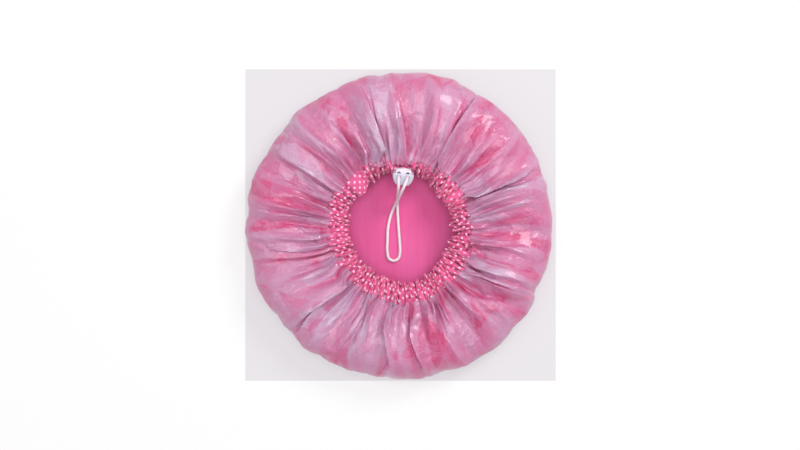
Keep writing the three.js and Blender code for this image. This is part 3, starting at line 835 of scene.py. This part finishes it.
# The lining lies this deep under the film, and closer by PLEATED_CLING where it is pleated.
LINING_DEPTH = 1.3
PLEATED_CLING = 0.75
CLING_EASE = 30

# Lining points that no film covers are moved in steps, in the rows between these two gaps.
UNTANGLE_ROUNDS = 3
UNTANGLE_STEP = 1.5
UNTANGLE_REACH = 60
UNTANGLE_CROWN_GAP = 5
UNTANGLE_SEAM_GAP = 2

# The unit of length of the film's patterns, and the crown's place in them.
GATHER_LENGTH = 60
CROWN_GATHER = [0, 0, 4]


def kept_under(points, film_points, angle, along):
    """Lining points moved inward wherever a tangled fold leaves no film over them."""
    rows, columns, _ = points.shape
    film_faces = BVHTree.FromPolygons(film_points.reshape(-1, 3).tolist(), ring_faces(rows, columns))
    out = cloth_point(angle, along, 1, 0) - cloth_point(angle, along, 0, 0)
    rows_along = along[:, 0]
    pleated = np.nonzero((rows_along > CROWN_FLAT_RADIUS + UNTANGLE_CROWN_GAP)
                         & (rows_along < CLOTH_RADIUS - UNTANGLE_SEAM_GAP))[0]
    for _ in range(UNTANGLE_ROUNDS):
        for row in pleated:
            for column in range(columns):
                start, way = Vector(points[row, column]), Vector(out[row, column])
                if film_faces.ray_cast(start, way, UNTANGLE_REACH)[0] is None:
                    points[row, column] -= out[row, column] * UNTANGLE_STEP
    return points


def cloth_piece(name, cloth, depth, material):
    """One of the cap's two discs of cloth, gathered into the casing."""
    film_points, angle, along, fold, tone = cloth
    cling = PLEATED_CLING * smooth((along - CROWN_FLAT_RADIUS) / CLING_EASE)
    inset = depth * (1 - cling)[..., None]
    points = film_points - outward(film_points) * inset
    if depth:
        points = kept_under(points, film_points, angle, along)
    points[..., 2] = np.maximum(points[..., 2], FLOOR_GAP + inset[..., 0])
    rows, columns = angle.shape
    centre = np.array([[0, 0, FLOOR_GAP + depth]])
    faces = ring_faces(rows, columns, 1)
    faces += [(0, 1 + (column + 1) % columns, 1 + column) for column in range(columns)]
    piece = mesh_piece(name, np.concatenate([centre, points.reshape(-1, 3)]), faces, material)
    piece.data.set_sharp_from_angle(angle=CREASE_ANGLE)
    # For the film's tint: how high each fold stands, and a tone that is partly real haze and partly
    # painted sheen.
    point_attribute(piece, "fold", np.concatenate([[0], fold.ravel()]))
    point_attribute(piece, "tone", np.concatenate([[0], tone.ravel()]))
    gather = np.stack([np.cos(angle), np.sin(angle), (CLOTH_RADIUS - along) / GATHER_LENGTH], -1)
    gather = np.concatenate([[CROWN_GATHER], gather.reshape(-1, 3)])
    point_attribute(piece, "gather", gather, "FLOAT_VECTOR")
    return piece


# The casing's pleats and the ruffles of its two edges, which reach over its whole width.
CASING_LAY = {"start": 1, "reach": (900, 1000), "lean": 1.6, "spread": 0.4}
CASING_FOLDS = Pleats(PLEAT_COUNT, seed=11, roundness=2.4, **CASING_LAY)
OUTER_RUFFLE = Pleats(count=74, seed=47, roundness=3.2, **CASING_LAY)
INNER_RUFFLE = Pleats(count=62, seed=53, roundness=3.2, **CASING_LAY)
OUTER_TURN = 0.03
LEAN_TURN = 0.01

# Points in each pleat and round the hem, and the roundness of its edges.
PLEAT_COLUMNS = 12
HEM_ROWS = 44
EDGE_ROUNDNESS = 0.8

# One stretch of the casing lies nearly flat.
FLAT_PATCH = math.radians(133)
FLAT_HALF_WIDTH = math.radians(9)
FLAT_CALM = 0.8
# The flat stretch's even level of painted light.
FLAT_PATCH_SHADING = 0.8
CALM_LIMIT = 0.9

# The hem's thickness, its pleats, the lift and reach of its ruffles, its small lumps, and the
# room that it leaves over its cord.
EDGE_THICKNESS = 0.4
MIDDLE_THICKNESS = 1.6
PLEAT_DEPTH = 6.5
RUFFLE_LIFT = 5.0
RUFFLE_LIFT_LEVEL = 0.6
RUFFLE_REACH = 3.0
RUFFLE_REACH_LEVEL = 0.65
LUMP_HEIGHT = 1.35
LUMP_EDGE_LOSS = 1.05
HEM_WIDENING = 1.04
COVER_GAP = 0.4
COVER_WIDTH = 2.6

# The print's slip from pleat to pleat, what the hem's fold hides of it, and the valleys' shade.
PRINT_SEED = 97
PRINT_SLIP = 2.5
HEM_FOLD = 3
VALLEY_HEIGHT = 0.42


def casing_piece(material):
    """The ruffled hem: a gathered tube of fabric with deep pleats across its width."""
    columns = PLEAT_COUNT * PLEAT_COLUMNS
    turn, angle = np.meshgrid(circle(HEM_ROWS), circle(columns), indexing="ij")
    half = CASING_WIDTH / 2
    across = half * np.sign(np.cos(turn)) * np.abs(np.cos(turn)) ** EDGE_ROUNDNESS
    side = np.sin(turn)
    flat = np.exp(-((wrapped(angle - FLAT_PATCH) / FLAT_HALF_WIDTH) ** 4))
    calm = 1 - FLAT_CALM * flat
    bend = 0.02 * waves(angle, across, count=10, seed=3, most=22, reach=4)
    pleat, lean, _ = CASING_FOLDS(angle + bend, 0 * angle)
    outer, _, _ = OUTER_RUFFLE(angle + bend + OUTER_TURN, 0 * angle)
    inner, _, _ = INNER_RUFFLE(angle + bend, 0 * angle)
    ruffle = inner + (outer - inner) * smooth(0.5 + across / half)
    lumps = waves(angle, across, count=24, seed=83, most=90, reach=0.8)
    edge_share = np.abs(across / half) ** 2
    thickness = EDGE_THICKNESS + MIDDLE_THICKNESS * (1 - np.abs(across / half) ** 2.2)
    out = side * (thickness + calm * (pleat - 0.5) * PLEAT_DEPTH * (1 - 0.5 * edge_share))
    out = out + calm * ((ruffle - RUFFLE_LIFT_LEVEL) * RUFFLE_LIFT * edge_share
                        + (LUMP_HEIGHT - LUMP_EDGE_LOSS * edge_share) * lumps)
    ragged = waves(angle, 0 * angle, count=10, seed=17, most=60, reach=10) * 0.05
    ragged = ragged + waves(angle, 0 * angle, count=3, seed=29, most=5, reach=10) * 0.06
    frill = calm * np.sign(across) * (ruffle - RUFFLE_REACH_LEVEL) * RUFFLE_REACH * edge_share
    wide = across * (HEM_WIDENING + ragged) + frill
    cover = CORD_DIAMETER / 2 + COVER_GAP - (across / COVER_WIDTH) ** 2
    out = np.where(side > 0, np.maximum(out, cover * side), np.minimum(out, cover * side))
    points = casing_point(angle + calm * lean * LEAN_TURN, wide, out)
    top = points[HEM_ROWS // 4]
    steps = np.linalg.norm(np.roll(top, -1, axis=0) - top, axis=1)
    turned = np.mod(angle + bend, 2 * math.pi)
    pleat_of = np.searchsorted(CASING_FOLDS.edges, turned) % PLEAT_COUNT
    rng = np.random.default_rng(PRINT_SEED)
    gathered = calm > CALM_LIMIT
    hidden = np.where(gathered, rng.uniform(0, DOT_PITCH, PLEAT_COUNT)[pleat_of], 0)
    slipped = np.where(gathered, rng.uniform(-PRINT_SLIP, PRINT_SLIP, PLEAT_COUNT)[pleat_of], 0)
    cut_x = np.concatenate([[0], np.cumsum(steps)[:-1]]) + hidden
    cut_y = across + half + np.where(side < 0, 2 * half + HEM_FOLD, 0) + slipped
    cut = np.stack([cut_x, cut_y, 0 * angle], -1)
    faces = ring_faces(HEM_ROWS, columns, close_rows=True)
    piece = mesh_piece("casing_hem", points.reshape(-1, 3), faces, material)
    point_attribute(piece, "cut", cut.reshape(-1, 3), "FLOAT_VECTOR")
    # Painted shade and light: low in the pleats' valleys, high on their crests and raised lumps.
    pleat_shading = 0.45 * smooth(pleat / VALLEY_HEIGHT) + 0.25 * np.clip(pleat, 0, 1)
    pleat_shading = pleat_shading + 0.4 * smooth(0.5 + 0.5 * lumps)
    point_attribute(piece, "pleat_shading", np.maximum(pleat_shading, FLAT_PATCH_SHADING * flat).ravel())
    return piece


def smooth_route(points, steps):
    """A centripetal Catmull-Rom curve through a route's points."""
    points = [Vector(point) for point in points]
    padded = [points[0] * 2 - points[1]] + points + [points[-1] * 2 - points[-2]]
    line = []
    for i in range(1, len(padded) - 2):
        before, start, end, after = padded[i - 1:i + 3]
        lengths = [math.sqrt((b - a).length) for a, b in ((before, start), (start, end), (end, after))]
        leave = ((start - before) / lengths[0] - (end - before) / (lengths[0] + lengths[1])
                 + (end - start) / lengths[1]) * lengths[1]
        arrive = ((end - start) / lengths[1] - (after - start) / (lengths[1] + lengths[2])
                  + (after - end) / lengths[2]) * lengths[1]
        for step in range(steps):
            t = step / steps
            line.append((2 * t ** 3 - 3 * t ** 2 + 1) * start + (t ** 3 - 2 * t ** 2 + t) * leave
                        + (3 * t ** 2 - 2 * t ** 3) * end + (t ** 3 - t ** 2) * arrive)
    line.append(points[-1])
    return line


def cord_tube(name, line, material, sides=16):
    """A round cord along a line of points, with where each point lies on it for the braid."""
    count = len(line)
    tangents = [(line[min(i + 1, count - 1)] - line[max(i - 1, 0)]).normalized() for i in range(count)]
    across = tangents[0].orthogonal().normalized()
    points, lay = [], []
    run = 0.0
    for i, (place, tangent) in enumerate(zip(line, tangents)):
        across = (across - tangent * across.dot(tangent)).normalized()
        over = tangent.cross(across)
        if i:
            run += (place - line[i - 1]).length
        for side in range(sides):
            turn = side / sides * 2 * math.pi
            points.append(place + (across * math.cos(turn) + over * math.sin(turn)) * CORD_DIAMETER / 2)
            lay.append((side / sides, run / BRAID_PITCH, 0))
    faces = ring_faces(count, sides)
    faces += [tuple(range(sides))[::-1], tuple(range((count - 1) * sides, count * sides))]
    piece = mesh_piece(name, [tuple(point) for point in points], faces, material)
    point_attribute(piece, "lay", lay, "FLOAT_VECTOR")
    return piece


# Points in each span of the free cord, where its pieces begin and end (listed, but only the pieces' names
# are used), the points of the hem's cord, and the gap between the two.
STEPS = 8
BLENDS = {
    "cord_lead_left": ((-5, 57, 26), (0, 51, 34)),
    "cord_lead_right": ((13, 56, 26), (8.7, 50.5, 33)),
    "cord_loop": ((-1, 16, 6), (-1, 16, 26)),
}
RING_POINTS = 240
CORD_CUT = 0.4

# The cords.
cord = cord_material()
slit_line = OPENING[1] + CASING_LINE_RADIUS
route = smooth_route([(x, slit_line + y, z) for x, y, z in LOOP_ROUTE], STEPS)
left_split = LEFT_HOLE_SPAN * STEPS + STEPS // 2
right_split = RIGHT_HOLE_SPAN * STEPS + STEPS // 2
spans = {
    "cord_lead_left": route[:left_split + 1],
    "cord_loop": route[left_split:right_split + 1],
    "cord_lead_right": route[right_split:][::-1],
}
cords = {}
for name, line in spans.items():
    cords[name] = cord_tube(name, line, cord)
    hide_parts("drawcord_loop")
for name, (start, end) in BLENDS.items():
    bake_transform(cords[name])

gap = CORD_CUT / CASING_LINE_RADIUS
ring_start = math.acos((SLIT_LEFT - OPENING[0]) / CASING_LINE_RADIUS) + gap
ring_end = 2 * math.pi + math.acos((SLIT_RIGHT - OPENING[0]) / CASING_LINE_RADIUS) - gap
ring_angles = np.linspace(ring_start, ring_end, RING_POINTS)
ring_line = [Vector(point) for point in casing_point(ring_angles, 0 * ring_angles, 0 * ring_angles)]
ring = cord_tube("cord_in_hem", ring_line, cord, sides=12)
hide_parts("drawcord_ring")
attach(ring, "cap")

# The cloth.
cloth_points, *cloth_grid = gathered_cloth()
cloth_points = buckled(cloth_points, buckling(cloth_points))
above = np.maximum(cloth_points[..., 2] - HEIGHT_KNEE, 0)
cloth_points[..., 2] -= above * (1 - HEIGHT_EASE)
cloth = (cloth_points, *cloth_grid)
film = cloth_piece("film_disc", cloth, 0.0, film_material())
lining = cloth_piece("lining_disc", cloth, LINING_DEPTH, lining_material())
casing = casing_piece(casing_material())
sheets = [(film, ["outer_film", "outer_film_crest"], "film"), (lining, ["crown_lining"], "lining")]
for piece, nodes, slot in sheets:
    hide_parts(*nodes)
    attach(piece, "cap")
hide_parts("casing_band")
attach(casing, "cap")

# The lock keeps its CAD shapes and gets its plastic, the body's white greyed with painted shade.
finishes = {
    "lock_body": plastic_material("lock_white_shaded", colour(214, 212, 229)),
    "lock_plunger": plastic_material("lock_button_white", colour(244, 236, 246)),
}
for name, finish in finishes.items():
    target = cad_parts[name]
    target.data.materials.clear()
    target.data.materials.append(finish)

# The spring keeps its CAD shape too, as a piece of its own, so that it can shorten under the plunger.
spring = scene_object("spring_coil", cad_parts["lock_spring"].data.copy())
spring.data.materials.clear()
spring.data.materials.append(steel_material())
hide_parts("lock_spring")
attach(spring, "lock")
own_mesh(spring)


# How much of the floor's brightness to the camera is its own, so that shadows stay faint.
FLOOR_GLOW = 0.6

# The floor in millimetres, and the photograph's grey square on it in metres.
FLOOR_HALF = 2500
SQUARE_LIMITS = ((-0.1527, 0.1557), (-0.1537, 0.1557))
SQUARE_SHARPNESS = 2000


def floor_material():
    """White page with the pale grey square that the cap was photographed on."""
    shader = Shader("backdrop", Roughness=0.9, Specular_IOR_Level=0.1)
    place = shader.node("ShaderNodeSeparateXYZ", Vector=shader.place())
    inside = None
    for output, limits in enumerate(SQUARE_LIMITS):
        for limit, sign in zip(limits, (1, -1)):
            beyond = shader.math("SUBTRACT", place.outputs[output], limit)
            beyond = shader.math("MULTIPLY", beyond, SQUARE_SHARPNESS * sign, clamp=True)
            inside = beyond if inside is None else shader.math("MULTIPLY", inside, beyond)
    tint = shader.mix(inside, colour(250, 250, 250), colour(226, 223, 226))
    shown = shader.mix(inside, (1, 1, 1, 1), colour(237, 234, 238))
    path = shader.node("ShaderNodeLightPath").outputs
    seen = shader.math("MAXIMUM", path["Is Camera Ray"], path["Is Glossy Ray"])
    seen = shader.math("MAXIMUM", seen, path["Is Transmission Ray"])
    glow = shader.node("ShaderNodeEmission", Color=shown)
    blend = shader.node("ShaderNodeMixShader", Fac=shader.math("MULTIPLY", seen, FLOOR_GLOW))
    shader.put(blend.inputs[1], shader.surface.outputs[0])
    shader.put(blend.inputs[2], glow.outputs[0])
    shader.put(shader.tree.nodes["Material Output"].inputs["Surface"], blend.outputs[0])
    return shader.finish(Base_Color=tint)


floor_corners = [(x * FLOOR_HALF, y * FLOOR_HALF, 0) for x, y in ((-1, -1), (1, -1), (1, 1), (-1, 1))]
floor = mesh_piece("floor", floor_corners, [(0, 1, 2, 3)], floor_material(), smooth_faces=False)

# Soft light, a little stronger from the upper right.
world = bpy.data.worlds.new("studio")
bpy.context.scene.world = world
world.use_nodes = True
background = world.node_tree.nodes["Background"].inputs
background[0].default_value = (1.0, 0.99, 1.0, 1.0)
background[1].default_value = 0.42


def area_light(name, place, size, power):
    """A square soft light aimed at the cap."""
    data = bpy.data.lights.new(name, "AREA")
    data.shape = "SQUARE"
    data.size = size
    data.energy = power
    light = scene_object(name, data)
    light.location = place
    light.rotation_euler = Vector(place).to_track_quat("Z", "Y").to_euler()


area_light("key", place=(0.8, 0.8, 1.1), size=0.5, power=9)
area_light("overhead", place=(0.0, 0.1, 2.4), size=1.5, power=26)
area_light("side", place=(-1.1, -0.3, 1.3), size=0.9, power=2)

# The camera looks straight down, as in the photograph.
view_width = PICTURE_WIDTH * MM_PER_PIXEL * METRE
camera_data = bpy.data.cameras.new("camera")
camera_data.lens = LENS
camera_data.sensor_width = SENSOR
camera = scene_object("camera", camera_data)
camera_height = RIM_HEIGHT * METRE + view_width * LENS / SENSOR
camera.location = (CAMERA_SHIFT * METRE, CAMERA_SHIFT * METRE, camera_height)
bpy.context.scene.camera = camera
bpy.context.scene.view_settings.view_transform = "Standard"
